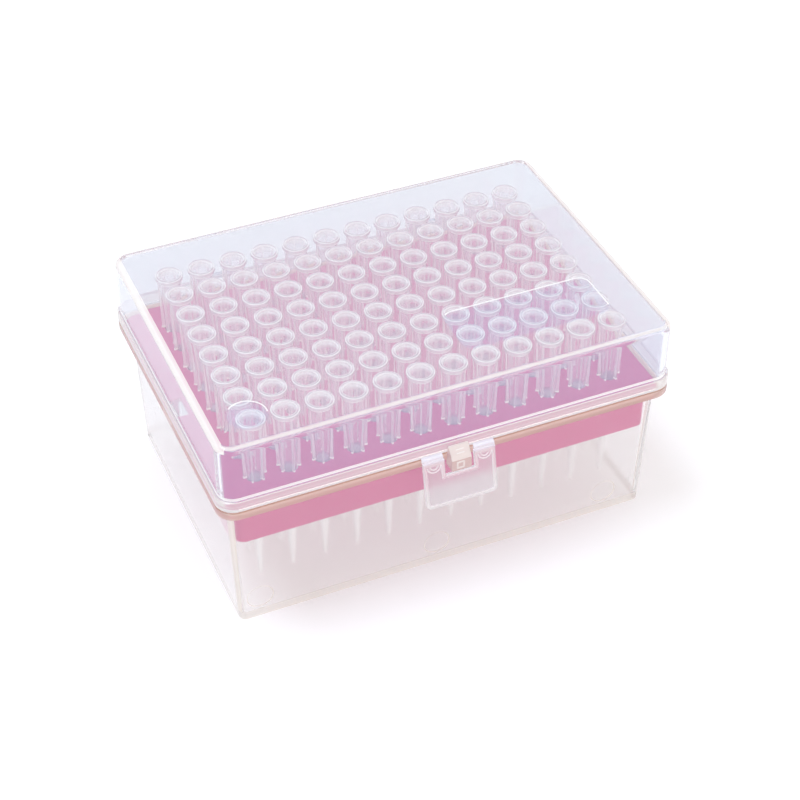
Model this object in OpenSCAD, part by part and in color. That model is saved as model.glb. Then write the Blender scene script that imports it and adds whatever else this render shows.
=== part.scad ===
// Hinged box of 96 racked pipette tips: open base, drop-in tray, clear lid, front latch flap.
// Millimetres. Origin at the middle of the underside, Z up, latch towards -Y, hinge towards +Y.

/* [Base] */
// Outside length of the base along X, at the foot of its walls
base_w = 116.6; // [116:0.1:117.2]
// Outside depth of the base along Y, at the foot of its walls
base_d = 80.1; // [79.5:0.1:80.5]
// Moulding draft: how far the walls lean out for each millimetre of height
base_draft = 0.031; // [0:0.001:0.035]
// Height of the parting plane, where lid and base meet
part_z = 42.7; // [41:0.1:46]
// Wall thickness of the base
base_wall = 1.4; // [1:0.1:1.6]
// Floor thickness of the base
base_floor = 1.8; // [1.2:0.1:2.2]
// Radius of the rounded bottom edge
base_edge = 1.2; // [0.6:0.1:1.8]
// Height of the rim band round the mouth
rim_h = 2.7; // [2.6:0.1:3.2]

/* [Lid] */
// Outside length of the lid walls along X
lid_w = 123.4; // [122.8:0.1:123.8]
// Outside depth of the lid walls along Y
lid_d = 86.7; // [86.2:0.1:87]
// Height of the lid top above the parting plane
lid_h = 19.5; // [18.5:0.1:24]
// Wall thickness of the lid
lid_wall = 1.5; // [1.1:0.1:1.7]
// Radius of the rounded top edge
lid_edge = 1.8; // [1:0.1:2.5]
// How far the lid flange stands out from its walls
flange_out = 0.8; // [0.6:0.05:1.1]
// Height of the lid flange
flange_h = 3.2; // [2.6:0.1:4]

/* [Tray] */
// Thickness of the tray plate
tray_t = 1.2; // [1:0.1:1.3]
// Depth of the tray top below the parting plane
tray_drop = 0.9; // [0.7:0.1:1]
// Height of the skirt under the tray, from the tray top
skirt_h = 14; // [8:0.5:16]

/* [Tips] */
// Pitch of the tip grid
pitch = 9; // [8.9:0.05:9.05]
// How far the grid sits behind the middle of the box
grid_y = 0.2; // [-0.5:0.1:0.5]
// Length of a tip
tip_len = 51.1; // [45:0.1:52]
// Height of the collar top above the tray
collar_up = 17.3; // [15:0.1:17.5]
// Outside radius of the collar
collar_r = 3.72; // [3.5:0.01:3.9]
// Radius of the mouth of a tip
mouth_r = 2.72; // [2.6:0.01:2.8]
// Ribs on each tip
ribs = 6; // [4:1:8]

/* [Latch] */
// Width of the latch flap
flap_w = 19.9; // [18:0.1:22]
// Length of the latch flap, below its hinge line
flap_len = 13.2; // [12:0.1:14.5]
// Thickness of the latch flap
flap_t = 1; // [0.8:0.1:1]
// Lean of the closed flap, outward from the vertical
flap_lean = 12.5; // [12:0.5:14]
// Width of the notch that clears the catch
notch_w = 8.1; // [7.6:0.1:8.6]
// Width of the catch block
catch_w = 5.6; // [5:0.1:6]

/* [Hinge] */
// Distance of each hinge from the middle
hinge_x = 32; // [24:1:40]
// Radius of the hinge pins
pin_r = 1.2; // [1:0.05:1.3]
// Radial running clearance of the pins
pin_gap = 0.07; // [0.03:0.01:0.1]

/* [Hidden] */
$fn = 64;
part_gap = 0.05;
lid_top = part_z + lid_h;
flange_w = lid_w + 2 * flange_out;
flange_d = lid_d + 2 * flange_out;
flange_r = 5;
band_step = 0.3;
front = -flange_d / 2;
wall_r = 2;
inner_r = 1;
inner_edge = 0.9;
foot_inset = 6;
foot_step = 0.6;
disc_d = 7.5;
disc_z = 7.8;
disc_step = 49.5;
disc_x = -3.2;
disc_deep = 0.12;
tray_top = part_z - tray_drop;
tray_w = 119.6;
tray_d = 84;
tray_r = 4;
tray_play = 0.3;
seat_z = tray_top - tray_t;
skirt_z = tray_top - skirt_h;
skirt_t = 1.2;
skirt_r = 2.5;
skirt_play = 0.35;
skirt_w = base_w + 2 * (base_draft * skirt_z - base_wall - skirt_play);
skirt_d = base_d + 2 * (base_draft * skirt_z - base_wall - skirt_play);
skirt_gap = 9;
hole_r = 2.3;
hole_top_r = 2.55;
slot_w = 3.4;
slot_d = 6.6;
slot_x = 57.5;
collar_top = tray_top + collar_up;
tip_end = collar_top - tip_len;
rib_t = 0.6;
rib_in = 1.6;
rib_foot = 3;
rib_head = 3.22;
cols = 12;
rows = 8;
axis_y = flange_d / 2 + 2.35;
axis_z = part_z;
lug_r = 2;
lug_w = 2.4;
lug_x = 4.6;
tongue_w = 6.2;
pin_len = 11.4;
flap_y = front - 1;
flap_z = part_z - 1.2;
flap_r = 2;
bead_r = flap_t / 2;
groove_r = bead_r + 0.08;
arm_w = (flap_w - notch_w) / 2;
arm_x = (flap_w + notch_w) / 4;
notch_h = 4.25;
catch_front = front - 3.25;
catch_low = part_z - 4.15;
catch_high = part_z + 2.2;
lid_r = 4.5;
top_t = 1.6;
ceiling_edge = 0.4;
window_deep = 0.12;
label_w = 42;
label_d = 16.2;
label_r = 3;
label_at = [29.2, -22.8];
roundel_d = 10.4;
roundel_at = [-50.6, -32.3];

// Rectangle with round corners, exact arcs
module round_rect(w, d, r) {
    square([w - 2 * r, d], center = true);
    square([w, d - 2 * r], center = true);
    for (sx = [-1, 1], sy = [-1, 1])
        translate([sx * (w / 2 - r), sy * (d / 2 - r)])
            circle(r);
}

// Upright prism on a round_rect
module slab(w, d, r, z0, z1) {
    translate([0, 0, z0])
        linear_extrude(z1 - z0)
            round_rect(w, d, r);
}

// Half section for corner posts and side walls: rounded at the bottom, leaning out above
module edge_profile(r, h, e, draft) {
    polygon([[0, e], [r, e], [r + draft * (h - e), h], [0, h]]);
    square([r - e, h]);
    translate([r - e, e])
        circle(e);
}

// Box form with its bottom edge rounded: four turned corners joined by straight runs
module pan(w, d, r, z0, z1, e, draft = 0) {
    h = z1 - z0;
    translate([0, 0, z0]) {
        for (sx = [-1, 1], sy = [-1, 1])
            translate([sx * (w / 2 - r), sy * (d / 2 - r), 0])
                rotate([0, 0, atan2(-sy, -sx)])
                    rotate_extrude()
                        intersection() {
                            edge_profile(r, h, e, draft);
                            square([r + draft * h + 1, h]);
                        }
        for (a = [0, 180])
            rotate([0, 0, a])
                translate([-(w / 2 - r), 0, 0])
                    rotate([90, 0, 90])
                        linear_extrude(w - 2 * r)
                            translate([d / 2 - r, 0])
                                edge_profile(r, h, e, draft);
        for (a = [90, 270])
            rotate([0, 0, a])
                translate([-(d / 2 - r), 0, 0])
                    rotate([90, 0, 90])
                        linear_extrude(d - 2 * r)
                            translate([w / 2 - r, 0])
                                edge_profile(r, h, e, draft);
        linear_extrude(h)
            square([w - 2 * r, d - 2 * r], center = true);
    }
}

// The same form upside down, with its top edge rounded
module cover(w, d, r, z0, z1, e) {
    translate([0, 0, z0 + z1])
        mirror([0, 0, 1])
            pan(w, d, r, z0, z1, e);
}

// Side outline in the Y-Z plane, extruded along X about x = 0
module along_x(w) {
    translate([-w / 2, 0, 0])
        rotate([90, 0, 90])
            linear_extrude(w)
                children();
}

// Catch block moulded on the front rim: sloping lead-in on top, flat hook underneath
module catch_block() {
    intersection() {
        along_x(catch_w)
            polygon([
                [front + 0.6, part_z - 0.3],
                [front - 0.25, part_z - 0.3],
                [front - 0.25, catch_high],
                [front - 0.5, catch_high],
                [catch_front + 0.35, part_z - 0.55],
                [catch_front + 0.15, part_z - 0.8],
                [catch_front, catch_low + 0.2],
                [catch_front + 0.2, catch_low],
                [front + 0.05, catch_low],
                [front + 0.6, part_z - rim_h + 0.2]
            ]);
        translate([0, 0, catch_low - 1])
            linear_extrude(catch_high - catch_low + 2)
                polygon([
                    [-catch_w / 2, front + 1],
                    [-catch_w / 2, catch_front + 0.4],
                    [-catch_w / 2 + 0.4, catch_front],
                    [catch_w / 2 - 0.4, catch_front],
                    [catch_w / 2, catch_front + 0.4],
                    [catch_w / 2, front + 1]
                ]);
    }
}

// Pair of lugs behind the rim, with a true bore for the lid pin
module hinge_lugs() {
    for (s = [-1, 1])
        translate([s * lug_x, 0, 0])
            difference() {
                along_x(lug_w) {
                    translate([axis_y, axis_z])
                        circle(lug_r);
                    polygon([
                        [flange_d / 2 - 1, part_z - rim_h + 0.1],
                        [flange_d / 2 + 0.2, part_z - rim_h - 1.2],
                        [axis_y + 1.4, axis_z - 1.4],
                        [axis_y, axis_z + lug_r - 0.2],
                        [axis_y - lug_r + 0.15, axis_z],
                        [axis_y - lug_r + 0.1, axis_z - 0.3],
                        [flange_d / 2 - 1, axis_z - 0.3]
                    ]);
                }
                translate([-lug_w, axis_y, axis_z])
                    rotate([0, 90, 0])
                        cylinder(r = pin_r + pin_gap, h = 2 * lug_w);
            }
}

// Open base: box walls, outward rim band, seat for the tray, catch and hinge lugs
module base() {
    color([0.93, 0.92, 0.91, 0.55]) {
        difference() {
            union() {
                pan(base_w, base_d, wall_r, 0, part_z - rim_h + 0.5, base_edge, base_draft);
                slab(
                    flange_w - 2 * band_step, flange_d - 2 * band_step, flange_r - band_step,
                    part_z - rim_h, part_z - part_gap
                );
                slab(flange_w, flange_d, flange_r, part_z - rim_h + 0.4, part_z - band_step);
            }
            pan(
                base_w - 2 * base_wall, base_d - 2 * base_wall, inner_r,
                base_floor, part_z + 1, inner_edge, base_draft
            );
            slab(
                tray_w + 2 * tray_play, tray_d + 2 * tray_play, tray_r + tray_play,
                seat_z, part_z + 1
            );
            slab(base_w - 2 * foot_inset, base_d - 2 * foot_inset, 3, -1, foot_step);
            for (i = [-1, 0, 1])
                translate([disc_x + i * disc_step, -base_d / 2 - base_draft * disc_z, disc_z])
                    rotate([90 + atan(base_draft), 0, 0])
                        translate([0, 0, -disc_deep])
                            cylinder(d = disc_d, h = 1);
        }
        catch_block();
        for (s = [-1, 1])
            translate([s * hinge_x, 0, 0])
                hinge_lugs();
    }
}

// Skirt under the tray, open at both ends below the lift-out slots
module skirt() {
    difference() {
        slab(skirt_w, skirt_d, skirt_r, skirt_z, seat_z + 0.3);
        slab(
            skirt_w - 2 * skirt_t, skirt_d - 2 * skirt_t, skirt_r - skirt_t,
            skirt_z - 1, seat_z
        );
        translate([-skirt_w, -skirt_gap / 2, skirt_z - 1])
            cube([2 * skirt_w, skirt_gap, seat_z - skirt_z + 1]);
    }
}

// Coloured tray: plate with 96 holes and a lift-out slot at each end, on a skirt
module tray() {
    color([0.83, 0.45, 0.66])
        difference() {
            union() {
                slab(tray_w, tray_d, tray_r, seat_z, tray_top);
                skirt();
            }
            for (c = [0:cols - 1], r = [0:rows - 1])
                translate([(c - 5.5) * pitch, (r - 3.5) * pitch + grid_y, seat_z - 1]) {
                    cylinder(r = hole_r, h = tray_t + 2);
                    translate([0, 0, tray_t + 0.75])
                        cylinder(r1 = hole_r, r2 = hole_top_r, h = 0.251);
                }
            for (s = [-1, 1])
                translate([s * slot_x, 0, seat_z - 1])
                    translate([-slot_w / 2, -slot_d / 2, 0])
                        cube([slot_w, slot_d, tray_t + 2]);
        }
}

// One tip: turned body with a rounded collar, a taper in two slopes, and standing ribs
module tip(turn) {
    difference() {
        union() {
            rotate_extrude()
                polygon([
                    [0, tip_end],
                    [0.42, tip_end],
                    [1.75, tip_end + 20.5],
                    [2.02, tray_top - 1],
                    [2.12, tray_top + 1],
                    [3.02, collar_top - 2.2],
                    [3.1, collar_top - 1.5],
                    [collar_r - 0.12, collar_top - 1.3],
                    [collar_r, collar_top - 1.0],
                    [collar_r, collar_top - 0.35],
                    [collar_r - 0.1, collar_top - 0.1],
                    [collar_r - 0.35, collar_top],
                    [0, collar_top]
                ]);
            for (i = [0:ribs - 1])
                rotate([90, 0, turn + i * 360 / ribs])
                    translate([0, 0, -rib_t / 2])
                        linear_extrude(rib_t)
                            polygon([
                                [rib_in, tray_top],
                                [rib_foot, tray_top],
                                [rib_foot, tray_top + 0.6],
                                [rib_head, collar_top - 1.4],
                                [rib_in, collar_top - 1.4]
                            ]);
        }
        rotate_extrude()
            polygon([
                [0, tip_end - 1],
                [0.24, tip_end - 1],
                [0.24, tip_end + 0.5],
                [1.32, tip_end + 20.5],
                [1.6, tray_top + 1],
                [2.5, collar_top - 2],
                [mouth_r - 0.06, collar_top - 0.5],
                [mouth_r + 0.16, collar_top + 0.1],
                [0, collar_top + 0.1]
            ]);
    }
}

// One column of eight tips, each dropped in at its own turn
module tips_column(c) {
    color([0.95, 0.94, 0.93, 0.6])
        for (r = [0:rows - 1])
            translate([(c - 5.5) * pitch, (r - 3.5) * pitch + grid_y, 0])
                tip((c * 37 + r * 23 + c * r * 11) % 60);
}

// Tongue between the lugs, with the pin that turns in them
module hinge_tongue() {
    along_x(tongue_w) {
        translate([axis_y, axis_z])
            circle(lug_r);
        polygon([
            [flange_d / 2 - 0.8, part_z + 0.4],
            [axis_y - 1.2, axis_z + 0.4],
            [axis_y, axis_z],
            [axis_y + 0.8, axis_z + 1.83],
            [flange_d / 2 - 0.8, part_z + 2.8]
        ]);
    }
    translate([-pin_len / 2, axis_y, axis_z])
        rotate([0, 90, 0])
            cylinder(r = pin_r, h = pin_len);
}

// Ledge on the flange, with the round groove in which one arm of the flap turns
module flap_ledge() {
    difference() {
        along_x(arm_w - 0.2)
            polygon([
                [front + 0.4, part_z + 0.05],
                [front + 0.4, part_z + 0.75],
                [front, part_z + 0.6],
                [flap_y + 0.1, part_z - 0.1],
                [flap_y - 0.1, part_z - 0.25],
                [flap_y - 0.1, part_z - 0.45],
                [flap_y, flap_z + groove_r - 0.1],
                [front - 0.3, flap_z + 0.3],
                [front - 0.3, part_z + 0.05]
            ]);
        translate([-flap_w / 2, flap_y, flap_z])
            rotate([0, 90, 0])
                cylinder(r = groove_r, h = flap_w);
    }
}

// Clear lid: walls, flange, polished windows in a frosted top, hinge tongues, flap ledges
module lid() {
    color([0.90, 0.92, 0.95, 0.35]) {
        difference() {
            union() {
                cover(lid_w, lid_d, lid_r, part_z, lid_top, lid_edge);
                slab(flange_w, flange_d, flange_r, part_z, part_z + flange_h - band_step);
                slab(
                    flange_w - 2 * band_step, flange_d - 2 * band_step, flange_r - band_step,
                    part_z, part_z + flange_h
                );
            }
            cover(
                lid_w - 2 * lid_wall, lid_d - 2 * lid_wall, lid_r - lid_wall,
                part_z - 1, lid_top - top_t, ceiling_edge
            );
            translate(label_at)
                slab(label_w, label_d, label_r, lid_top - window_deep, lid_top + 1);
            translate([roundel_at[0], roundel_at[1], lid_top - window_deep])
                cylinder(d = roundel_d, h = 1);
        }
        for (s = [-1, 1])
            translate([s * (arm_x + 0.1), 0, 0])
                flap_ledge();
        for (s = [-1, 1])
            translate([s * hinge_x, 0, 0])
                hinge_tongue();
    }
}

// Latch flap: leaning plate with a notch for the catch, round along its hinge line
module latch_flap() {
    color([0.88, 0.90, 0.94, 0.45])
        translate([0, flap_y, flap_z])
            rotate([-flap_lean, 0, 0]) {
                translate([0, flap_t / 2, 0])
                    rotate([90, 0, 0])
                        linear_extrude(flap_t)
                            difference() {
                                translate([0, 2.5 - flap_len / 2])
                                    round_rect(flap_w, flap_len + 5, flap_r);
                                translate([-flap_w / 2 - 1, 0])
                                    square([flap_w + 2, 6]);
                                translate([-notch_w / 2, -notch_h])
                                    square([notch_w, notch_h + 1]);
                            }
                for (s = [-1, 1])
                    translate([s * arm_x - arm_w / 2, 0, 0])
                        rotate([0, 90, 0])
                            cylinder(r = bead_r, h = arm_w);
            }
}

base();
tray();
tips_column(0);  // tips_column_01
tips_column(1);  // tips_column_02
tips_column(2);  // tips_column_03
tips_column(3);  // tips_column_04
tips_column(4);  // tips_column_05
tips_column(5);  // tips_column_06
tips_column(6);  // tips_column_07
tips_column(7);  // tips_column_08
tips_column(8);  // tips_column_09
tips_column(9);  // tips_column_10
tips_column(10);  // tips_column_11
tips_column(11);  // tips_column_12
lid();
latch_flap();
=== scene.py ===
import math

import bmesh
import bpy
from mathutils import Matrix, Vector


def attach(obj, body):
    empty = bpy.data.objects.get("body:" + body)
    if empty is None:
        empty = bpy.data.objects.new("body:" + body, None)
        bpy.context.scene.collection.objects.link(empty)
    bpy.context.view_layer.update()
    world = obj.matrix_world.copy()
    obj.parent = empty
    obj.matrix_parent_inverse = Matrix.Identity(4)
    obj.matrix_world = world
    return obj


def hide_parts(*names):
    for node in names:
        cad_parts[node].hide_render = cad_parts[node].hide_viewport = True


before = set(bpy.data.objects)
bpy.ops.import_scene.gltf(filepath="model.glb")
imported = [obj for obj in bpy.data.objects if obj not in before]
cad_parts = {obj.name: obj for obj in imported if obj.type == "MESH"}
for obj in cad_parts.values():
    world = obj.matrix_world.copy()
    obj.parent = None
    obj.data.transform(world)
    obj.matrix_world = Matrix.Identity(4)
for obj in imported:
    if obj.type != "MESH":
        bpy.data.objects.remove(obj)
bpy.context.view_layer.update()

scene = bpy.context.scene

# ---------------------------------------------------------------- camera
# A short telephoto lens looks down on the latch side of the box from the left,
# held a quarter of a degree off level.
VIEW_AZIMUTH = math.radians(-23.73)
VIEW_ELEVATION = math.radians(40.35)
VIEW_ROLL = math.radians(0.25)
AIM = Vector((0.0001, -0.0082, 0.0311))
DISTANCE = 0.5002

camera_data = bpy.data.cameras.new("camera")
camera_data.lens = 83.92
camera_data.sensor_width = 36
camera_data.clip_start = 0.01
camera_data.clip_end = 20
camera_data.shift_y = -0.0009
camera = bpy.data.objects.new("camera", camera_data)
scene.collection.objects.link(camera)
outward = Vector((
    math.sin(VIEW_AZIMUTH) * math.cos(VIEW_ELEVATION),
    -math.cos(VIEW_AZIMUTH) * math.cos(VIEW_ELEVATION),
    math.sin(VIEW_ELEVATION),
))
camera.matrix_world = (
    Matrix.Translation(AIM + outward * DISTANCE)
    @ Matrix.Rotation(VIEW_AZIMUTH, 4, "Z")
    @ Matrix.Rotation(math.pi / 2 - VIEW_ELEVATION, 4, "X")
    @ Matrix.Rotation(VIEW_ROLL, 4, "Z")
)
scene.camera = camera


# ---------------------------------------------------------------- studio
# A matt white floor under two soft lamps and a pale even room. The room is
# white to the eye and in reflections, and lights the box at a plain level.
def linear(hex_colour):
    """An sRGB colour such as "f2e9e4" as linear RGBA."""
    channels = [int(hex_colour[i:i + 2], 16) / 255 for i in (0, 2, 4)]
    return [c / 12.92 if c <= 0.04045 else ((c + 0.055) / 1.055) ** 2.4 for c in channels] + [1]


def add_node(tree, kind, inputs=(), **settings):
    """Adds a node. Each input is a value, or an output socket to link from."""
    made = tree.nodes.new(kind)
    for name, value in settings.items():
        setattr(made, name, value)
    for name, value in dict(inputs).items():
        if isinstance(value, bpy.types.NodeSocket):
            tree.links.new(value, made.inputs[name])
        else:
            made.inputs[name].default_value = value
    return made


def new_material(name):
    """An empty node material, and its node tree."""
    material = bpy.data.materials.new(name)
    material.use_nodes = True
    material.node_tree.nodes.clear()
    return material, material.node_tree


def any_of(tree, *flags):
    """1 where any of the 0 or 1 sockets is 1."""
    total = flags[0]
    for flag in flags[1:]:
        total = add_node(
            tree, "ShaderNodeMath", {0: total, 1: flag}, operation="MAXIMUM").outputs[0]
    return total


scene.view_settings.view_transform = "Standard"
ROOM_LIGHT = 0.8

world = bpy.data.worlds.new("studio")
world.use_nodes = True
scene.world = world
room = world.node_tree
room.nodes.clear()
path = add_node(room, "ShaderNodeLightPath").outputs
seen = any_of(room, path["Is Camera Ray"], path["Is Glossy Ray"], path["Is Transmission Ray"])
lighting = add_node(room, "ShaderNodeBackground", {
    "Color": linear("ffffff"), "Strength": ROOM_LIGHT})
backdrop = add_node(room, "ShaderNodeBackground", {"Color": linear("ffffff"), "Strength": 1})
shown = add_node(room, "ShaderNodeMixShader", {
    0: seen, 1: lighting.outputs[0], 2: backdrop.outputs[0]})
add_node(room, "ShaderNodeOutputWorld", {"Surface": shown.outputs[0]})


BOX_MIDDLE = Vector((0, 0, 0.03))


def softbox(name, position, size, watts, colour):
    """A square lamp that faces the box."""
    lamp = bpy.data.lights.new(name, "AREA")
    lamp.size = size
    lamp.energy = watts
    lamp.color = linear(colour)[:3]
    placed = bpy.data.objects.new(name, lamp)
    placed.location = position
    facing = (BOX_MIDDLE - Vector(position)).to_track_quat("-Z", "Y")
    placed.rotation_euler = facing.to_euler()
    scene.collection.objects.link(placed)


softbox("key_lamp", (-0.35, 0.1, 0.9), 0.4, 3.1, "e0eeff")
softbox("fill_lamp", (0.35, -0.9, 0.35), 0.5, 1.9, "fff0e2")

FLOOR_REACH = 3
floor_mesh = bpy.data.meshes.new("floor")
floor_mesh.from_pydata(
    [(x * FLOOR_REACH, y * FLOOR_REACH, 0) for x, y in ((-1, -1), (1, -1), (1, 1), (-1, 1))],
    [], [(0, 1, 2, 3)])
floor = bpy.data.objects.new("floor", floor_mesh)
scene.collection.objects.link(floor)

# Matt white paper. To the eye, in reflections and through clear plastic it is lifted to
# white, and it keeps the shadow of the box.
floor_finish, tree = new_material("matt_white_paper")
path = add_node(tree, "ShaderNodeLightPath").outputs
seen = any_of(tree, path["Is Camera Ray"], path["Is Glossy Ray"], path["Is Transmission Ray"])
paper = add_node(tree, "ShaderNodeBsdfDiffuse", {"Color": linear("f4f4f4")})
glow = add_node(tree, "ShaderNodeMapRange", {
    "Value": path["Is Transmission Ray"], "To Min": 0.18, "To Max": 0.4})
lift = add_node(tree, "ShaderNodeEmission", {
    "Color": linear("ffffff"), "Strength": glow.outputs[0]})
lifted = add_node(tree, "ShaderNodeAddShader", {0: paper.outputs[0], 1: lift.outputs[0]})
both = add_node(tree, "ShaderNodeMixShader", {0: seen, 1: paper.outputs[0], 2: lifted.outputs[0]})
add_node(tree, "ShaderNodeOutputMaterial", {"Surface": both.outputs[0]})
floor_mesh.materials.append(floor_finish)

# Light crosses many thin clear walls, and runs along inside them, before it leaves the box
MOST_WALLS = 128
scene.cycles.max_bounces = MOST_WALLS
scene.cycles.glossy_bounces = MOST_WALLS
scene.cycles.transmission_bounces = MOST_WALLS
scene.cycles.transparent_max_bounces = MOST_WALLS


# ---------------------------------------------------------------- base
# The open box is one moulding of natural polypropylene, milky, its walls leaning out a
# little below a solid rim band. The catch block and the hinge lugs are part of the rim.
MM = 0.001
PARTING = 42.7
BASE_HALF = (58.3, 40.05)
BASE_WALL = 1.4
BASE_CORNER = 2.0
BASE_DRAFT = 0.031
FLOOR_TOP = 1.8
BOTTOM_EDGE = 1.2
INNER_EDGE = 0.9
FOOT_INSET = 6.0
FOOT_STEP = 0.6
FOOT_CORNER = 3
FOOT_BAND_HEIGHT = 2.1
RIM_HALF = (62.5, 44.15)
RIM_CORNER = 5.0
RIM_BOTTOM = 40.0
TRAY_HALF = (59.8, 42.0)
TRAY_CORNER = 4.0
TRAY_PLAY = 0.3
TRAY_TOP = 41.8
TRAY_THICK = 1.2
CORNER_STEPS = 9
FRONT = -RIM_HALF[1]


def round_rect(half_w, half_d, radius, centre=(0, 0), steps=CORNER_STEPS):
    """Points of a rectangle with round corners, counter-clockwise."""
    points = []
    for quarter, (sx, sy) in enumerate(((1, 1), (-1, 1), (-1, -1), (1, -1))):
        for step in range(steps + 1):
            angle = math.pi / 2 * (quarter + step / steps)
            points.append((
                centre[0] + sx * (half_w - radius) + radius * math.cos(angle),
                centre[1] + sy * (half_d - radius) + radius * math.sin(angle),
            ))
    return points


def circle(radius, centre=(0, 0), steps=32):
    """Points of a circle, counter-clockwise."""
    turn = 2 * math.pi / steps
    return [(centre[0] + radius * math.cos(i * turn), centre[1] + radius * math.sin(i * turn))
            for i in range(steps)]


def arc(centre, radius, start, end, steps):
    """Points of an arc in a profile, from one angle in degrees to another."""
    return [(centre[0] + radius * math.cos(math.radians(start + (end - start) * i / steps)),
             centre[1] + radius * math.sin(math.radians(start + (end - start) * i / steps)))
            for i in range(steps + 1)]


def ring(mesh, points, z):
    """A loop of new corners at height z, from points in millimetres."""
    return [mesh.verts.new((x * MM, y * MM, z * MM)) for x, y in points]


def skin(mesh, low, high):
    """Faces between two loops with the same number of corners."""
    made = []
    for i in range(len(low)):
        j = (i + 1) % len(low)
        made.append(mesh.faces.new((low[i], low[j], high[j], high[i])))
    return made


def fill(mesh, *loops):
    """A flat face inside the first loop and outside the others."""
    if len(loops) == 1:
        return [mesh.faces.new(loops[0])]
    edges = []
    for loop in loops:
        for i in range(len(loop)):
            pair = (loop[i], loop[(i + 1) % len(loop)])
            edges.append(mesh.edges.get(pair) or mesh.edges.new(pair))
    made = bmesh.ops.triangle_fill(mesh, edges=edges, use_beauty=True, use_dissolve=False)
    return [f for f in made["geom"] if isinstance(f, bmesh.types.BMFace)]


def wall_loops(mesh, profile, half, corner):
    """Loops round a box for each (inset, height) of a profile, the inset from a half size."""
    return [ring(mesh, round_rect(half[0] - inset, half[1] - inset, max(corner - inset, 0.3)), z)
            for inset, z in profile]


def piece(name, mesh, *materials):
    """An object from a bmesh, with outward faces, in the scene."""
    bmesh.ops.recalc_face_normals(mesh, faces=mesh.faces)
    data = bpy.data.meshes.new(name)
    mesh.to_mesh(data)
    mesh.free()
    for material in materials:
        data.materials.append(material)
    made = bpy.data.objects.new(name, data)
    scene.collection.objects.link(made)
    return made


def shade(made, crease=35):
    """Smooth faces, with a crease at sharp corners and flat faces kept flat."""
    made.data.polygons.foreach_set("use_smooth", [True] * len(made.data.polygons))
    made.data.set_sharp_from_angle(angle=math.radians(crease))
    weighted = made.modifiers.new("even_normals", "WEIGHTED_NORMAL")
    weighted.keep_sharp = True
    weighted.weight = 80


def fuse(made, *others, operation="UNION"):
    """Joins closed solids into the first one, as one moulding, or cuts them out of it."""
    for other in others:
        join = made.modifiers.new("fuse", "BOOLEAN")
        join.operation = operation
        join.solver = "EXACT"
        join.material_mode = "TRANSFER"
        join.object = other
    view = bpy.context.evaluated_depsgraph_get()
    fused = bpy.data.meshes.new_from_object(made.evaluated_get(view))
    made.modifiers.clear()
    made.data = fused
    for other in others:
        bpy.data.objects.remove(other)


def bar(name, outlines, levels, place, *materials):
    """A closed solid with the given outlines, stacked at (height, inset) levels.

    outlines are functions from an inset to a loop of 2-D points, the first one outside
    and the others holes. place turns a 2-D point and a height into a 3-D point, in mm.
    """
    mesh = bmesh.new()
    stacks = []
    for outline in outlines:
        stacks.append([
            [mesh.verts.new(Vector(place(u, v, height)) * MM) for u, v in outline(inset)]
            for height, inset in levels])
        for low, high in zip(stacks[-1], stacks[-1][1:]):
            skin(mesh, low, high)
    above = {low: high for stack in stacks for low, high in zip(stack[0], stack[-1])}
    for face in fill(mesh, *[stack[0] for stack in stacks]):
        mesh.faces.new([above[corner] for corner in reversed(face.verts)])
    return piece(name, mesh, *materials)


def bevelled(thickness, bevel=0.15):
    """Levels of a plate with small bevels round both faces."""
    return [(0, bevel), (bevel, 0), (thickness - bevel, 0), (thickness, bevel)]


def across(centre_x, width):
    """Places a side outline in the Y-Z plane, its thickness along X."""
    return lambda u, v, height: (centre_x - width / 2 + height, u, v)


def clear_to_lamps(tree, surface, tint):
    """Lets lamp and room light pass straight through a clear wall, tinted."""
    path = add_node(tree, "ShaderNodeLightPath").outputs
    straight = any_of(tree, path["Is Shadow Ray"], path["Is Diffuse Ray"])
    passing = add_node(tree, "ShaderNodeBsdfTransparent", {"Color": tint})
    mixed = add_node(tree, "ShaderNodeMixShader",
                     {0: straight, 1: surface.outputs[0], 2: passing.outputs[0]})
    add_node(tree, "ShaderNodeOutputMaterial", {"Surface": mixed.outputs[0]})


def veiled(tree, clear, veil, amount, ior):
    """Lays a veil over a clear surface, but not where the surface is a mirror."""
    mirror = add_node(tree, "ShaderNodeFresnel", {"IOR": ior})
    weight = add_node(
        tree, "ShaderNodeMath", {0: 1.0, 1: mirror.outputs[0]}, operation="SUBTRACT")
    scaled = add_node(
        tree, "ShaderNodeMath", {0: weight.outputs[0], 1: amount}, operation="MULTIPLY")
    return add_node(tree, "ShaderNodeMixShader",
                    {0: scaled.outputs[0], 1: clear.outputs[0], 2: veil.outputs[0]})


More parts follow.
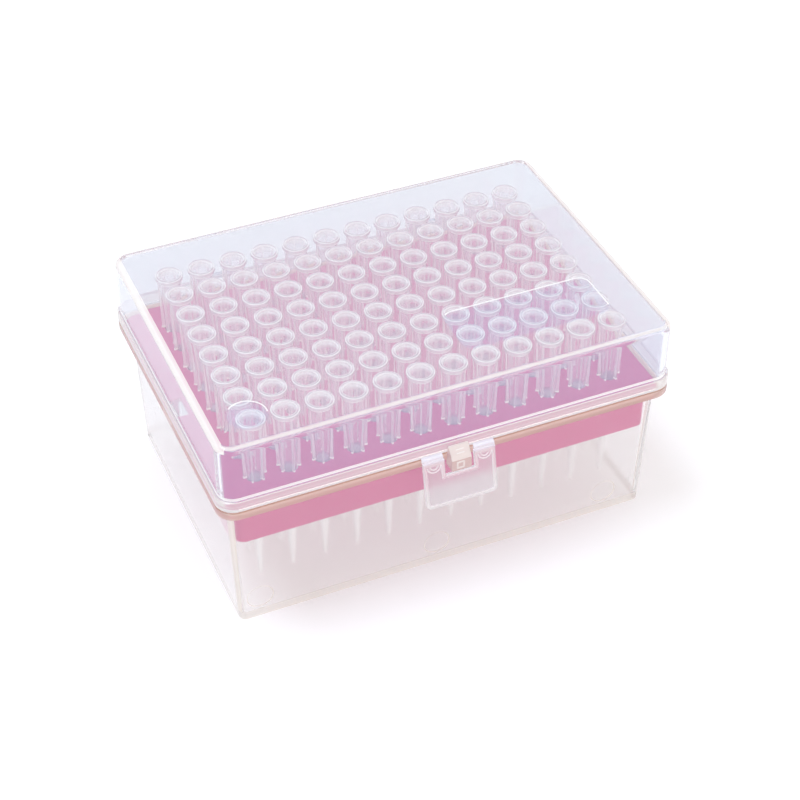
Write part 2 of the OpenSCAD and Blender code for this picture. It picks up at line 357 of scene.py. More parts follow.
# Natural polypropylene, moulded: milky, so things close behind show and fade with depth.
# The same plastic is nearly solid cream where it is thick, at the corners, the bottom edge
# and the lugs; at the corners and the bottom edge the cream is also a painted highlight.
# The floor is milkier than the walls, and a pale band runs round the foot. The rim is
# painted peach for the tray's light glowing through it, the sides of the block are painted
# darker in that tint as shade, and the parting line above the rim is a painted line of shade.
# Small raised marks are painted white as a highlight. The melt leaves broad, very faint clouds.
FLOW_MM = 25
natural_pp = {}
for finish, amount, tint in (
        ("moulded", 0.13, "e8e5e2"), ("foot", 0.8, "ebe4df"), ("floor", 0.5, "f8f3ee"),
        ("thick", 0.85, "f8f0e6"), ("rim", 0.75, "e6c6ba"), ("parting_line", 0.8, "bd9583"),
        ("block", 0.95, "efe7e2"), ("block_sides", 0.9, "dcc3bf"), ("marks", 0.95, "fffdfa")):
    natural_pp[finish], tree = new_material("natural_polypropylene_" + finish)
    coords = add_node(tree, "ShaderNodeTexCoord").outputs["Object"]
    flow = add_node(tree, "ShaderNodeTexNoise", {
        "Vector": coords, "Scale": 1 / (FLOW_MM * MM), "Detail": 3})
    see_through = add_node(tree, "ShaderNodeBsdfPrincipled", {
        "Base Color": linear("fefeff"), "Roughness": 0.16, "IOR": 1.49, "Transmission Weight": 1})
    scatter = add_node(tree, "ShaderNodeBsdfTranslucent", {"Color": linear(tint)})
    matt = add_node(tree, "ShaderNodeBsdfPrincipled", {
        "Base Color": linear(tint), "Roughness": 0.35, "IOR": 1.49})
    milky = add_node(tree, "ShaderNodeMixShader", {
        0: 0.25, 1: matt.outputs[0], 2: scatter.outputs[0]})
    milk = add_node(tree, "ShaderNodeMapRange", {
        "Value": flow.outputs[0], "To Min": amount - 0.02, "To Max": amount + 0.02})
    clear_to_lamps(tree, veiled(tree, see_through, milky, milk.outputs[0], 1.49), linear("fdfcfc"))

shell = bmesh.new()
foot = [BASE_HALF[0] - FOOT_INSET, BASE_HALF[1] - FOOT_INSET]
underside = wall_loops(shell, [(0, FOOT_STEP), (0, 0.15), (-0.15, 0)], foot, FOOT_CORNER)
outside = [(BOTTOM_EDGE - u, z + BOTTOM_EDGE)
           for u, z in arc((0, 0), BOTTOM_EDGE, -90, 0, 6)]
lean = BASE_DRAFT * (RIM_BOTTOM - BOTTOM_EDGE)
outside += [(-0.03, BOTTOM_EDGE + FOOT_BAND_HEIGHT), (-lean, RIM_BOTTOM - 0.4),
            (-lean - 0.12, RIM_BOTTOM - 0.1)]
walls = wall_loops(shell, outside, BASE_HALF, BASE_CORNER)
rim_profile = [(3.3, RIM_BOTTOM), (0.45, RIM_BOTTOM), (0.15, RIM_BOTTOM + 0.15),
               (0, RIM_BOTTOM + 0.45), (0, PARTING - 0.35), (0.1, PARTING - 0.15),
               (0.3, PARTING - 0.05)]
band = wall_loops(shell, rim_profile, RIM_HALF, RIM_CORNER)
recess = [TRAY_HALF[0] + TRAY_PLAY, TRAY_HALF[1] + TRAY_PLAY]
seat = TRAY_TOP - TRAY_THICK
pocket = wall_loops(shell, [(-0.25, PARTING - 0.05), (0, PARTING - 0.25), (0, seat)],
                    recess, TRAY_CORNER + TRAY_PLAY)
inner_half = [BASE_HALF[0] - BASE_WALL, BASE_HALF[1] - BASE_WALL]
inside = wall_loops(
    shell,
    [(-lean - 0.15, seat), (-lean, seat - 0.2)]
    + [(INNER_EDGE - u, FLOOR_TOP + INNER_EDGE + z)
       for u, z in arc((0, 0), INNER_EDGE, 0, -90, 5)],
    inner_half, 1.0)
loops = underside + walls + band + pocket + inside
# The chamfer of the parting line is painted shade, and the rim and its recess carry the painted
# peach glow of the tray
PLAIN, THICK, RIM, LINE, FOOT_BAND, FLOOR = range(6)
finishes = (
    [PLAIN] * (len(underside) + 1) + [THICK] * 5  # underside and bottom edge
    + [FOOT_BAND, PLAIN, PLAIN]  # outer wall
    + [RIM] * 5 + [LINE] * 2 + [RIM] * len(pocket)  # rim band, parting line and recess
    + [THICK] + [PLAIN] * 2 + [FLOOR] * (len(inside) - 3))  # seat, inner wall, floor's edge
for finish, low, high in zip(finishes, loops, loops[1:]):
    for face in skin(shell, low, high):
        face.material_index = finish
fill(shell, loops[0])
fill(shell, loops[-1])[0].material_index = FLOOR
base = piece("base", shell, *[natural_pp[finish] for finish in (
    "moulded", "thick", "rim", "parting_line", "foot", "floor")])
# The four upright corners take the thick cream too, partly for thicker plastic and partly as a
# painted highlight
CORNER_STRIP = 1.0
for face in base.data.polygons:
    x, y, z = (abs(v) / MM for v in face.center)
    strip_x = BASE_HALF[0] + BASE_DRAFT * z - CORNER_STRIP
    on_corner = x > strip_x and y > BASE_HALF[1] - BASE_CORNER
    if face.material_index == PLAIN and on_corner:
        face.material_index = THICK

# Three shallow round marks of the mould, low on the front wall. Their edges are painted cream as a
# highlight.
DISC_XS = (-52.7, -3.2, 46.3)
DISC_RADIUS = 3.75
DISC_Z = 7.8
DISC_DEPTH = 0.12


def on_front_wall(at_x):
    """Places a round mark in the front wall, its height measured outward."""
    def place(u, v, height):
        z = DISC_Z + v
        return (at_x + u, DISC_DEPTH - height - BASE_HALF[1] - BASE_DRAFT * (z - BOTTOM_EDGE), z)
    return place


marks = [bar("mark", [lambda inset: circle(DISC_RADIUS - inset, steps=40)],
             [(0, 0.3), (DISC_DEPTH, 0), (1, 0)], on_front_wall(x),
             natural_pp["moulded"], natural_pp["thick"]) for x in DISC_XS]
for mark in marks:
    for face in mark.data.polygons:
        face.material_index = THICK if abs(face.normal.y) < 0.95 else PLAIN
fuse(base, *marks, operation="DIFFERENCE")

CATCH_WIDTH = 5.6
CATCH_FRONT = FRONT - 3.25
CATCH_LOW = PARTING - 4.15
CATCH_HIGH = PARTING + 2.2
RAMP_HEAD = (FRONT - 0.75, CATCH_HIGH)
RAMP_END = (CATCH_FRONT + 0.15, PARTING - 0.75)


def rounded(corners, steps=4):
    """A closed outline from (u, v, radius) corners, with an arc at each."""
    points = []
    for i, (u, v, radius) in enumerate(corners):
        here = Vector((u, v))
        if radius <= 0:
            points.append((u, v))
            continue
        before = Vector(corners[i - 1][:2]) - here
        after = Vector(corners[(i + 1) % len(corners)][:2]) - here
        half = before.angle(after) / 2
        reach = min(radius / math.tan(half), before.length * 0.49, after.length * 0.49)
        start, end = here + before.normalized() * reach, here + after.normalized() * reach
        for step in range(steps + 1):
            t = step / steps
            points.append(tuple(start * (1 - t) ** 2 + here * 2 * t * (1 - t) + end * t * t))
    return points


def catch_outline(inset):
    """Side outline of the catch block, with its sloping lead-in on top."""
    return rounded([
        (FRONT + 0.6, PARTING - 0.3, 0), (FRONT + 0.6, PARTING - 2.4, 0),
        (FRONT + 0.1, CATCH_LOW + inset, 0), (CATCH_FRONT + inset, CATCH_LOW + inset, 0.3),
        (RAMP_END[0] + inset, RAMP_END[1] - inset / 2, 0.35),
        (RAMP_HEAD[0], RAMP_HEAD[1] - inset, 0.2), (FRONT - 0.25, CATCH_HIGH - inset, 0.1),
        (FRONT - 0.25, PARTING - 0.3, 0)])


catch = bar("catch", [catch_outline],
            [(0, 0.35), (0.1, 0.12), (0.3, 0), (CATCH_WIDTH - 0.3, 0),
             (CATCH_WIDTH - 0.1, 0.12), (CATCH_WIDTH, 0.35)],
            across(0, CATCH_WIDTH), natural_pp["block"], natural_pp["block_sides"])
# Painted shade: every face of the block that doesn't look upward takes a darker, pinker copy of
# its finish
BLOCK_TOP, BLOCK_SHADED_SIDES = range(2)
for face in catch.data.polygons:
    face.material_index = BLOCK_SHADED_SIDES if face.normal.z < 0.3 else BLOCK_TOP

# Raised marks: two dashes across the lead-in, painted white as a highlight, and a small square
# frame below them
DASH_HALF = (1.1, 0.14)
DASHES_DOWN = (1.1, 2.05)
SQUARE_OUTSIDE = 1.15
SQUARE_INSIDE = 0.65
SQUARE_AT = (-0.4, CATCH_LOW + 1.85)
RAMP_TOP = Vector((0, *RAMP_HEAD))
RAMP_DOWN = (Vector((0, *RAMP_END)) - RAMP_TOP).normalized()
RAMP_OUT = Vector((0, RAMP_DOWN.z, -RAMP_DOWN.y))


def on_ramp(down):
    """Places a dash across the lead-in, at a distance down from its top."""
    return lambda u, v, height: (
        Vector((u, 0, 0)) + RAMP_TOP + RAMP_DOWN * (down + v) + RAMP_OUT * (height - 0.3))


dashes = [
    bar("dash",
        [lambda inset: round_rect(DASH_HALF[0] - inset, DASH_HALF[1] - inset, 0.08, steps=2)],
        [(0, 0), (0.34, 0), (0.4, 0.05)], on_ramp(down), natural_pp["marks"])
    for down in DASHES_DOWN]
square = bar(
    "square",
    [lambda inset: round_rect(SQUARE_OUTSIDE - inset, SQUARE_OUTSIDE - inset, 0.3, steps=3),
     lambda inset: round_rect(SQUARE_INSIDE + inset, SQUARE_INSIDE + inset, 0.15, steps=3)],
    [(0, 0), (0.3, 0), (0.38, 0.06)],
    lambda u, v, height: (SQUARE_AT[0] + u, CATCH_FRONT + 0.3 - height, SQUARE_AT[1] + v),
    natural_pp["block"])

# Two pairs of lugs behind the rim take the pins of the lid
HINGE_X = 32
HINGE_Y = RIM_HALF[1] + 2.35
HINGE_Z = PARTING
LUG_RADIUS = 2.0
LUG_OFFSET = 4.6
LUG_WIDTH = 2.4
PIN_RADIUS = 1.2
PIN_GAP = 0.07


def lug_outline(inset):
    """Side outline of a hinge lug: a round eye on an arm that runs under the rim."""
    r = LUG_RADIUS - inset
    eye = arc((HINGE_Y, HINGE_Z), r, -45, 180, 14)
    return eye + [(HINGE_Y - LUG_RADIUS + 0.05, HINGE_Z - 0.35), (RIM_HALF[1] - 1, HINGE_Z - 0.35),
                  (RIM_HALF[1] - 1, RIM_BOTTOM + 0.1 + inset),
                  (RIM_HALF[1] + 0.2, RIM_BOTTOM - 1.2 + inset)]


lugs = [
    bar("lug",
        [lug_outline,
         lambda inset: circle(PIN_RADIUS + PIN_GAP + inset, (HINGE_Y, HINGE_Z))],
        bevelled(LUG_WIDTH), across(set_x * HINGE_X + side * LUG_OFFSET, LUG_WIDTH),
        natural_pp["thick"])
    for set_x in (-1, 1) for side in (-1, 1)]
fuse(base, catch, *dashes, square, *lugs)
shade(base)
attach(base, "base_body")
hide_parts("base")


# ---------------------------------------------------------------- tray
# The coloured tray is one opaque moulding of dyed polypropylene, a plate with 96 holes
# that drops into the rim. A skirt stiffens it all round, open below the slot at each end
# that lifts it out.
PITCH = 9.0
GRID_Y = 0.2
COLUMNS = 12
ROWS = 8
HOLE_RADIUS = 2.3
SLOT_X = 57.5
SLOT_HALF = (1.7, 3.4)
SLOT_CORNER = 0.4
SKIRT_HALF = (57.41, 39.16)
SKIRT_CORNER = 2.5
SKIRT_THICK = 1.2
SKIRT_BOTTOM = TRAY_TOP - 14
SKIRT_GAP = 4.5


def tip_place(column, row):
    """Middle of one tip in the grid."""
    return ((column - (COLUMNS - 1) / 2) * PITCH, (row - (ROWS - 1) / 2) * PITCH + GRID_Y)


# Dyed polypropylene, moulded: an even satin pink. The light it sheds on the milky walls is
# paler, because they wash it out.
tray_pink, tree = new_material("dyed_polypropylene_moulded")
coords = add_node(tree, "ShaderNodeTexCoord").outputs["Object"]
CLOUD_MM = 16.7
cloud = add_node(tree, "ShaderNodeTexNoise", {
    "Vector": coords, "Scale": 1 / (CLOUD_MM * MM), "Detail": 2})
tone = add_node(tree, "ShaderNodeMix", {
    "Factor": cloud.outputs[0], "A": linear("cb2c82"), "B": linear("d13688")}, data_type="RGBA")
bounced = add_node(tree, "ShaderNodeLightPath").outputs["Is Diffuse Ray"]
shed = add_node(tree, "ShaderNodeMix", {
    "Factor": bounced, "A": tone.outputs["Result"], "B": linear("dfb5cc")}, data_type="RGBA")
# The real grain of the mould is finer. It is drawn as coarse as it needs to show.
GRAIN_MM = 0.25
grain = add_node(tree, "ShaderNodeTexNoise", {"Vector": coords, "Scale": 1 / (GRAIN_MM * MM)})
relief = add_node(tree, "ShaderNodeBump", {
    "Height": grain.outputs[0], "Strength": 0.15, "Distance": 0.00002})
dyed = add_node(tree, "ShaderNodeBsdfPrincipled", {
    "Base Color": shed.outputs["Result"], "Roughness": 0.38, "IOR": 1.49,
    "Normal": relief.outputs[0]})
add_node(tree, "ShaderNodeOutputMaterial", {"Surface": dyed.outputs[0]})


def upright(u, v, height):
    """Places a plan outline as it is, its thickness upward."""
    return (u, v, height)


holes = [
    (lambda inset, at=tip_place(c, r): circle(HOLE_RADIUS + inset, at, 28))
    for c in range(COLUMNS) for r in range(ROWS)]
slots = [
    (lambda inset, x=x: round_rect(
        SLOT_HALF[0] + inset, SLOT_HALF[1] + inset, SLOT_CORNER + inset, (x, 0), 3))
    for x in (-SLOT_X, SLOT_X)]
plate = bar(
    "tray",
    [lambda inset: round_rect(TRAY_HALF[0] - inset, TRAY_HALF[1] - inset, TRAY_CORNER)]
    + holes + slots,
    [(seat, 0.12), (seat + 0.12, 0), (TRAY_TOP - 0.25, 0), (TRAY_TOP, 0.25)],
    upright, tray_pink)


def skirt_outline(side):
    """Plan of half the skirt, a C open towards the other half."""
    def outline(inset):
        path = []
        for off, way in ((inset, 1), (SKIRT_THICK - inset, -1)):
            half = (SKIRT_HALF[0] - off, SKIRT_HALF[1] - off)
            bend = [(x, y) for x, y in round_rect(*half, SKIRT_CORNER - off) if y * side > 0]
            ends = sorted(bend, key=lambda p: math.atan2(p[1] * side, p[0]))
            tip_y = side * (SKIRT_GAP + inset)
            path += ([(half[0], tip_y)] + ends + [(-half[0], tip_y)])[::way]
        return path
    return outline


skirts = [bar("skirt", [skirt_outline(side)],
              [(SKIRT_BOTTOM, 0.2), (SKIRT_BOTTOM + 0.2, 0), (seat + 0.3, 0)],
              upright, tray_pink) for side in (-1, 1)]
fuse(plate, *skirts)
shade(plate)
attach(plate, "base_body")
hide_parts("tray")


# ---------------------------------------------------------------- tips
# Each tip is one thin moulding of natural polypropylene: a rounded collar, six standing
# ribs that rest on the tray, and a long cone below. Every tip is dropped in at its own turn.
COLLAR_TOP = 59.1
TIP_END = 8.0
CONE_TOP = TIP_END + 20.5
NECK_LOW = TRAY_TOP - 3.4
RIB_TOP = COLLAR_TOP - 1.5
RIBS = 6
RIB_HALF = 0.23
RIB_RADIUS = 2.6
RIB_SIDE = math.asin(RIB_HALF / RIB_RADIUS)
RIB_CREST = RIB_SIDE * 0.85
RIB_GAP = 2 * math.pi / RIBS - 2 * RIB_SIDE
# Points of each outline on a rib, and between it and the next
RIB_POINTS = 4
GAP_POINTS = 4

# Natural polypropylene, thin and glossy: nearly clear, with a trace of milk. It is milkier
# in the ribs and the band of the collar. The rounded edges of the collar carry painted pale
# highlight lines, the lower ends of the ribs painted glints, and the narrow cones are painted
# white as if lit. Inside its hole a tip is painted with the shade and the colour of the tray.
tip_pp = {}
for finish, amount, tint in (
        ("thin", 0.08, "fff2fa"), ("collar_edges", 0.82, "fffbfa"), ("rib_ends", 0.95, "fffaf2"),
        ("in_the_hole", 0.34, "cfa2d4"), ("collar_and_ribs", 0.34, "fff6f8"),
        ("cones", 0.92, "ffffff")):
    tip_pp[finish], tree = new_material("natural_polypropylene_" + finish)
    thin = add_node(tree, "ShaderNodeBsdfPrincipled", {
        "Base Color": linear("fdfbfd"), "Roughness": 0.05, "IOR": 1.42, "Transmission Weight": 1})
    milk = add_node(tree, "ShaderNodeBsdfPrincipled", {
        "Base Color": linear(tint), "Roughness": 0.25, "IOR": 1.49})
    clear_to_lamps(tree, veiled(tree, thin, milk, amount, 1.42), linear("fefdfd"))
# Painted highlights on the collar's round edges, painted glints at the rib ends, painted shade in
# the hole, and cones painted white as if lit
THIN, COLLAR_HIGHLIGHT, RIB_GLINT, HOLE_SHADE, COLLAR, CONE = range(6)

# (height, body radius, rib radius or 0, finish) up the outside, then down the bore
tip_outline = [
    (TIP_END, 0.42, 0, CONE), (TIP_END + 0.1, 0.46, 0, CONE), (TIP_END + 10, 1.07, 0, CONE),
    (CONE_TOP, 1.75, 0, CONE), (CONE_TOP + 0.4, 1.76, 0, THIN),
    (NECK_LOW, 1.97, 0, HOLE_SHADE), (TRAY_TOP - 1, 2.02, 0, HOLE_SHADE), (TRAY_TOP - 0.02, 2.07, 0, THIN),
    (TRAY_TOP, 2.07, 3.0, RIB_GLINT), (TRAY_TOP + 0.1, 2.08, 3.12, RIB_GLINT),
    (TRAY_TOP + 0.38, 2.1, 3.12, RIB_GLINT), (TRAY_TOP + 0.5, 2.11, 3.0, THIN),
    (RIB_TOP - 1, 2.98, 3.2, THIN), (RIB_TOP, 3.05, 3.22, THIN),
    (RIB_TOP + 0.02, 3.05, 0, THIN), (RIB_TOP + 0.12, 3.2, 0, COLLAR_HIGHLIGHT),
    (RIB_TOP + 0.25, 3.58, 0, COLLAR_HIGHLIGHT), (RIB_TOP + 0.5, 3.72, 0, COLLAR),
    (COLLAR_TOP - 0.36, 3.74, 0, COLLAR), (COLLAR_TOP - 0.12, 3.66, 0, COLLAR_HIGHLIGHT),
    (COLLAR_TOP, 3.46, 0, COLLAR), (COLLAR_TOP, 2.98, 0, COLLAR_HIGHLIGHT),
    (COLLAR_TOP - 0.06, 2.82, 0, COLLAR_HIGHLIGHT), (COLLAR_TOP - 0.28, 2.7, 0, COLLAR),
    (COLLAR_TOP - 2, 2.55, 0, THIN), (TRAY_TOP + 1, 1.62, 0, THIN), (TRAY_TOP, 1.57, 0, HOLE_SHADE),
    (NECK_LOW, 1.51, 0, THIN), (CONE_TOP, 1.32, 0, THIN), (TIP_END + 0.5, 0.24, 0, THIN),
    (TIP_END, 0.24, 0, THIN)]


def tip(mesh, x, y, turn):
    """One tip, its ribs turned by an angle."""
    loops = []
    for z, body, rib, _ in tip_outline:
        loop = []
        for k in range(RIBS):
            middle = turn + 2 * math.pi * k / RIBS
            points = [(middle - RIB_SIDE, body), (middle - RIB_CREST, rib or body),
                      (middle + RIB_CREST, rib or body), (middle + RIB_SIDE, body)]
            points += [(middle + RIB_SIDE + RIB_GAP * i / (GAP_POINTS + 1), body)
                       for i in range(1, GAP_POINTS + 1)]
            loop += [(x + r * math.cos(a), y + r * math.sin(a)) for a, r in points]
        loops.append(ring(mesh, loop, z))
    for (_, _, rib, finish), low, high in zip(tip_outline, loops, loops[1:] + loops[:1]):
        for i, face in enumerate(skin(mesh, low, high)):
            on_rib = rib and i % (RIB_POINTS + GAP_POINTS) < RIB_POINTS - 1
            if finish == RIB_GLINT:
                face.material_index = RIB_GLINT if on_rib else THIN
            else:
                face.material_index = COLLAR if on_rib else finish


for column in range(COLUMNS):
    name = f"tips_column_{column + 1:02d}"
    mesh = bmesh.new()
    for row in range(ROWS):
        # A turn that looks unplanned, within the 60 degrees from rib to rib
        turn = math.radians((column * 37 + row * 23 + column * row * 11) % 60)
        tip(mesh, *tip_place(column, row), turn)
    tips = piece(f"{name}_clear", mesh, *tip_pp.values())
    shade(tips)
    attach(tips, "base_body")
    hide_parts(name)


# ---------------------------------------------------------------- lid
# The lid is one moulding of clear polystyrene: a shell with a flange, its top lightly
# frosted round two polished windows. Ledges at the front carry the flap, and tongues and
# pins at the back turn in the lugs.
LID_HALF = (61.7, 43.35)
LID_CORNER = 4.3
LID_TOP = 62.2
LID_WALL = 1.5
TOP_THICK = 1.6
TOP_EDGE = 1.8
CEILING_EDGE = 0.4
FLANGE_TOP = PARTING + 3.2
FLANGE_EDGE = 0.3
WINDOW_DEPTH = 0.12
WINDOW_SLOPE = 0.35
LABEL_HALF = (21, 8.1)
LABEL_CORNER = 3.2
LABEL_AT = (29.2, -22.8)
ROUND_RADIUS = 5.2
ROUND_AT = (-50.6, -32.3)

# Clear polystyrene, moulded and polished: sharp reflections and a trace of blue. Off the
# lightly etched top of the mould it has a faint grey veil. A white highlight is painted at its
# steps and small edges, and a cream one along the thick round edges, most of all at the two
# ends. The band of the flange is frosted; the ledges and the beads of the flap are pale as a
# painted highlight.
clear_ps = {}
for finish, amount, tint in (
        ("polished", 0.23, "b6c4de"), ("etched", 0.21, "c6cbd6"), ("edges", 0.8, "ffffff"),
        ("thick_edges", 0.3, "fffaf2"), ("side_edges", 0.75, "fcf7f2"),
        ("frosted_band", 0.52, "ebe6e2"), ("ledges", 0.5, "eeecfa"), ("beads", 0.42, "f6f4f6")):
    clear_ps[finish], tree = new_material("clear_polystyrene_" + finish)
    clear = add_node(tree, "ShaderNodeBsdfPrincipled", {
        "Base Color": linear("ffffff"), "Roughness": 0.02, "IOR": 1.5, "Transmission Weight": 1})
    veil = add_node(tree, "ShaderNodeBsdfPrincipled", {
        "Base Color": linear(tint), "Roughness": 0.45, "IOR": 1.5})
    clear_to_lamps(tree, veiled(tree, clear, veil, amount, 1.5), linear("fdfdfe"))

shell = bmesh.new()
flange_profile = [(0.4, PARTING), (0.15, PARTING + 0.05), (0, PARTING + 0.25)]
for groove in (PARTING + 0.95, PARTING + 1.75):
    flange_profile += [
        (0, groove), (0.06, groove + 0.05), (0.06, groove + 0.17), (0, groove + 0.22)]
flange_profile += [(FLANGE_EDGE - u, FLANGE_TOP - FLANGE_EDGE + z)
                   for u, z in arc((0, 0), FLANGE_EDGE, 0, 90, 4)]
flange = wall_loops(shell, flange_profile, RIM_HALF, RIM_CORNER)
wall_foot = [(-0.1, FLANGE_TOP + 0.05), (0, FLANGE_TOP + 0.3), (0, FLANGE_TOP + 0.8)]
edge = [(TOP_EDGE - u, LID_TOP - TOP_EDGE + z) for u, z in arc((0, 0), TOP_EDGE, 0, 90, 8)]
outer = wall_loops(shell, wall_foot + edge, LID_HALF, LID_CORNER)
inner_half = [LID_HALF[0] - LID_WALL, LID_HALF[1] - LID_WALL]
ceiling = LID_TOP - TOP_THICK
inner = wall_loops(
    shell,
    [(CEILING_EDGE - u, ceiling - CEILING_EDGE + z)
     for u, z in arc((0, 0), CEILING_EDGE, 90, 0, 5)]
    + [(0, PARTING + 0.3), (-0.3, PARTING)],
    inner_half, LID_CORNER - LID_WALL)
# The steps and small edges get a painted white highlight, the round top edge a painted cream one,
# stronger at the two ends
POLISHED, ETCHED, EDGE, ROUND_EDGE_HIGHLIGHT, END_EDGE_HIGHLIGHT, FROSTED = range(6)
loops = flange + outer
finishes = (
    [EDGE] * 2 + [FROSTED] * (len(flange) - 3) + [POLISHED]  # band of the flange, its top
    + [EDGE] * 2 + [POLISHED] * 5 + [ROUND_EDGE_HIGHLIGHT] * 3 + [POLISHED])  # wall, then the round edge
round_edge = len(flange) + len(wall_foot) + 1
for level, (finish, low, high) in enumerate(zip(finishes, loops, loops[1:])):
    for face in skin(shell, low, high):
        at_end = abs(face.calc_center_median().x) / MM > LID_HALF[0] - TOP_EDGE
        face.material_index = END_EDGE_HIGHLIGHT if level >= round_edge and at_end else finish
for low, high in zip(inner, inner[1:]):
    skin(shell, low, high)
skin(shell, inner[-1], flange[0])

# A long window over the place for a label, and a round one near the left front corner
windows = []
clear_spots = []
for outline in (
    lambda inset: round_rect(LABEL_HALF[0] - inset, LABEL_HALF[1] - inset,
                             LABEL_CORNER - inset, LABEL_AT, 8),
    lambda inset: circle(ROUND_RADIUS - inset, ROUND_AT, 40),
):
    brink = ring(shell, outline(0), LID_TOP)
    sill = ring(shell, outline(WINDOW_SLOPE), LID_TOP - WINDOW_DEPTH)
    for face in skin(shell, brink, sill):
        # Only the slopes that face the front get the painted white highlight
        face.normal_update()
        lean_back = face.normal.x * 0.5 + face.normal.y
        faces_front = abs(lean_back) > 0.1 and lean_back * face.normal.z < 0
        face.material_index = EDGE if faces_front else POLISHED
    fill(shell, sill)
    windows.append(brink)
    clear_spots.append(ring(shell, outline(WINDOW_SLOPE), ceiling))
    fill(shell, clear_spots[-1])
for face in fill(shell, outer[-1], *windows) + fill(shell, inner[0], *clear_spots):
    face.material_index = ETCHED
lid = piece("lid", shell, *[clear_ps[finish] for finish in (
    "polished", "etched", "edges", "thick_edges", "side_edges", "frosted_band")])

FLAP_HALF = 9.95
NOTCH_HALF = 4.05
FLAP_Y = FRONT - 1.0
FLAP_Z = PARTING - 1.2
FLAP_THICK = 1.0
GROOVE_RADIUS = FLAP_THICK / 2 + 0.08
ARM_WIDTH = FLAP_HALF - NOTCH_HALF
ARM_X = (FLAP_HALF + NOTCH_HALF) / 2
LEDGE_WIDTH = ARM_WIDTH - 0.2
LEDGE_X = ARM_X + 0.1


def ledge_outline(inset):
    """Side outline of a ledge: a sloping shelf with a round groove underneath."""
    groove = arc((FLAP_Y, FLAP_Z), GROOVE_RADIUS + inset / 2, 100, 25, 8)
    return [(FRONT - 0.3, PARTING - 0.55 + inset / 2), (FRONT - 0.3, PARTING + 0.05),
            (FRONT + 0.4, PARTING + 0.05), (FRONT + 0.4, PARTING + 0.75 - inset),
            (FRONT + 0.03, PARTING + 0.61 - inset), (FLAP_Y + 0.1, PARTING - 0.08 - inset),
            (FLAP_Y - 0.1 + inset / 2, PARTING - 0.25 - inset / 2),
            (FLAP_Y - 0.1 + inset / 2, PARTING - 0.5)] + groove


ledges = [bar("ledge", [ledge_outline], bevelled(LEDGE_WIDTH, 0.12),
              across(side * LEDGE_X, LEDGE_WIDTH), clear_ps["ledges"]) for side in (-1, 1)]


def tongue_outline(inset):
    """Side outline of a hinge tongue: a round end on a web to the flange."""
    return arc((HINGE_Y, HINGE_Z), LUG_RADIUS - inset, -165, 60, 16) + [
        (RIM_HALF[1] - 0.8, PARTING + 2.8 - inset), (RIM_HALF[1] - 0.8, PARTING + 0.4 + inset),
        (HINGE_Y - 1.6, PARTING + 0.4 + inset)]


TONGUE_WIDTH = 6.2
PIN_LENGTH = 11.4
tongues = [bar("tongue", [tongue_outline], bevelled(TONGUE_WIDTH),
               across(side * HINGE_X, TONGUE_WIDTH), clear_ps["polished"])
           for side in (-1, 1)]
pins = [bar("pin", [lambda inset: circle(PIN_RADIUS - inset, (HINGE_Y, HINGE_Z))],
            bevelled(PIN_LENGTH), across(side * HINGE_X, PIN_LENGTH), clear_ps["polished"])
        for side in (-1, 1)]
fuse(lid, *ledges, *tongues, *pins)
shade(lid)
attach(lid, "lid_body")
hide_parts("lid")


# ---------------------------------------------------------------- latch flap
# The flap is moulded with the lid, of the same clear polystyrene, and hangs from its
# ledges. A bead stiffens its edge, and a notch clears the catch block, which its lower bar
# hooks under.
FLAP_LENGTH = 13.2
FLAP_LEAN = math.radians(12.5)
NOTCH_HEIGHT = 4.25
BEAD_WIDTH = 0.85
BEAD_RISE = 0.25

# The same polystyrene off a matt mould: a soft blur; the beads along its edges are painted bright
# as a highlight.
flap_matt, tree = new_material("clear_polystyrene_matt")
blurred = add_node(tree, "ShaderNodeBsdfPrincipled", {
    "Base Color": linear("faf6fb"), "Roughness": 0.36, "IOR": 1.5, "Transmission Weight": 1})
frost = add_node(tree, "ShaderNodeBsdfPrincipled", {
    "Base Color": linear("ebe7ea"), "Roughness": 0.5, "IOR": 1.5})
clear_to_lamps(tree, veiled(tree, blurred, frost, 0.17, 1.5), linear("fdfdfe"))


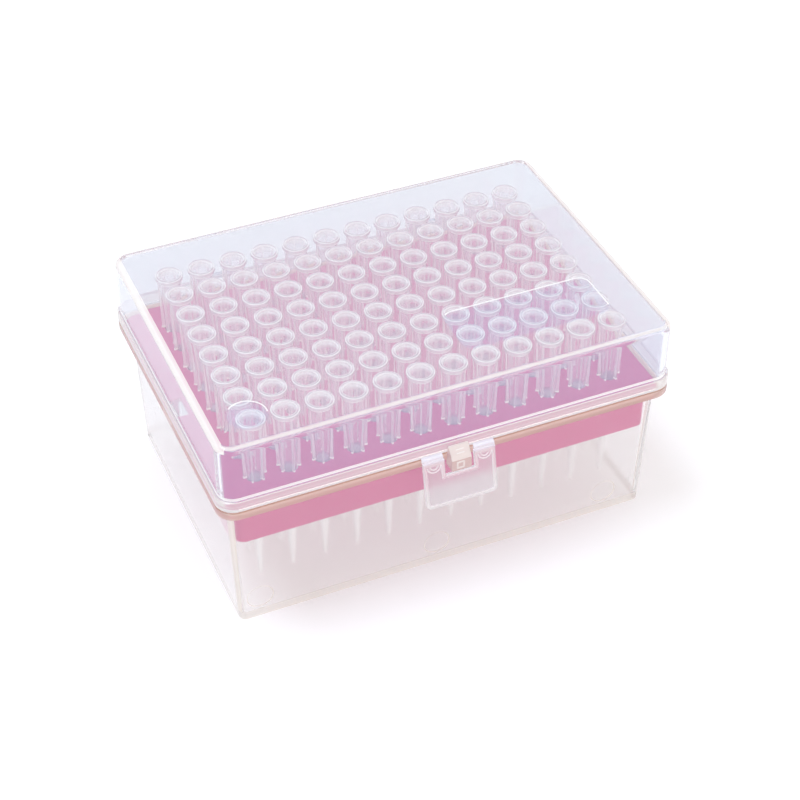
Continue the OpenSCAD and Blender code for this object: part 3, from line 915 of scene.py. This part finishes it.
def flap_outline(inset):
    """Front outline of the flap below its hinge line."""
    w, n = FLAP_HALF - inset, NOTCH_HALF + inset
    top, notch, low = -inset, -NOTCH_HEIGHT - inset, -FLAP_LENGTH + inset
    return rounded([
        (-w, top, 0.05), (-w, low, 2.0 - inset), (w, low, 2.0 - inset), (w, top, 0.05),
        (n, top, 0.05), (n, notch, 0.35), (-n, notch, 0.35), (-n, top, 0.05)], 8)


def on_flap(u, v, height):
    """A point of the flap's plate, height towards the front, leaning outward."""
    out = height - FLAP_THICK / 2
    return (u,
            FLAP_Y - out * math.cos(FLAP_LEAN) + v * math.sin(FLAP_LEAN),
            FLAP_Z + out * math.sin(FLAP_LEAN) + v * math.cos(FLAP_LEAN))


flap = bar("latch_flap", [flap_outline],
           [(0, 0.18), (0.18, 0), (FLAP_THICK - 0.2, 0), (FLAP_THICK, 0.2),
            (FLAP_THICK, BEAD_WIDTH), (FLAP_THICK - BEAD_RISE, BEAD_WIDTH + 0.2)],
           on_flap, flap_matt, clear_ps["beads"])
PLATE, BEAD = range(2)
plate_back = Vector(on_flap(0, 0, 0))
plate_out = Vector(on_flap(0, 0, 1)) - plate_back
for face in flap.data.polygons:
    height = (face.center / MM - plate_back).dot(plate_out)
    face.material_index = BEAD if height > FLAP_THICK - BEAD_RISE + 0.03 else PLATE


GATE_WIDTH = 0.26


def half_ring(centre_x, centre_v, radius):
    """Outline of a narrow half ring, open upwards, on the plate of the flap."""
    def outline(inset):
        outside, inside = (arc((centre_x, centre_v), r, 180, 360, 14)
                           for r in (radius - inset, radius - GATE_WIDTH + inset))
        return outside + inside[::-1]
    return outline


# Marks of the mould: two nested half rings at the top of each arm, painted white as a highlight
gates = [bar("gate", [half_ring(side * ARM_X, -0.9, radius)],
             [(0.3, 0), (FLAP_THICK - BEAD_RISE + 0.06, 0), (FLAP_THICK - BEAD_RISE + 0.1, 0.04)],
             on_flap, clear_ps["edges"]) for side in (-1, 1) for radius in (2.0, 1.2)]
# The hinge rolls take the pale finish of the ledges as a painted highlight
rolls = [bar("roll", [lambda inset: circle(FLAP_THICK / 2 - inset, (FLAP_Y, FLAP_Z), 24)],
             bevelled(ARM_WIDTH, 0.1), across(side * ARM_X, ARM_WIDTH), clear_ps["ledges"])
         for side in (-1, 1)]
fuse(flap, *rolls, *gates)
shade(flap)
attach(flap, "flap_body")
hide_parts("latch_flap")
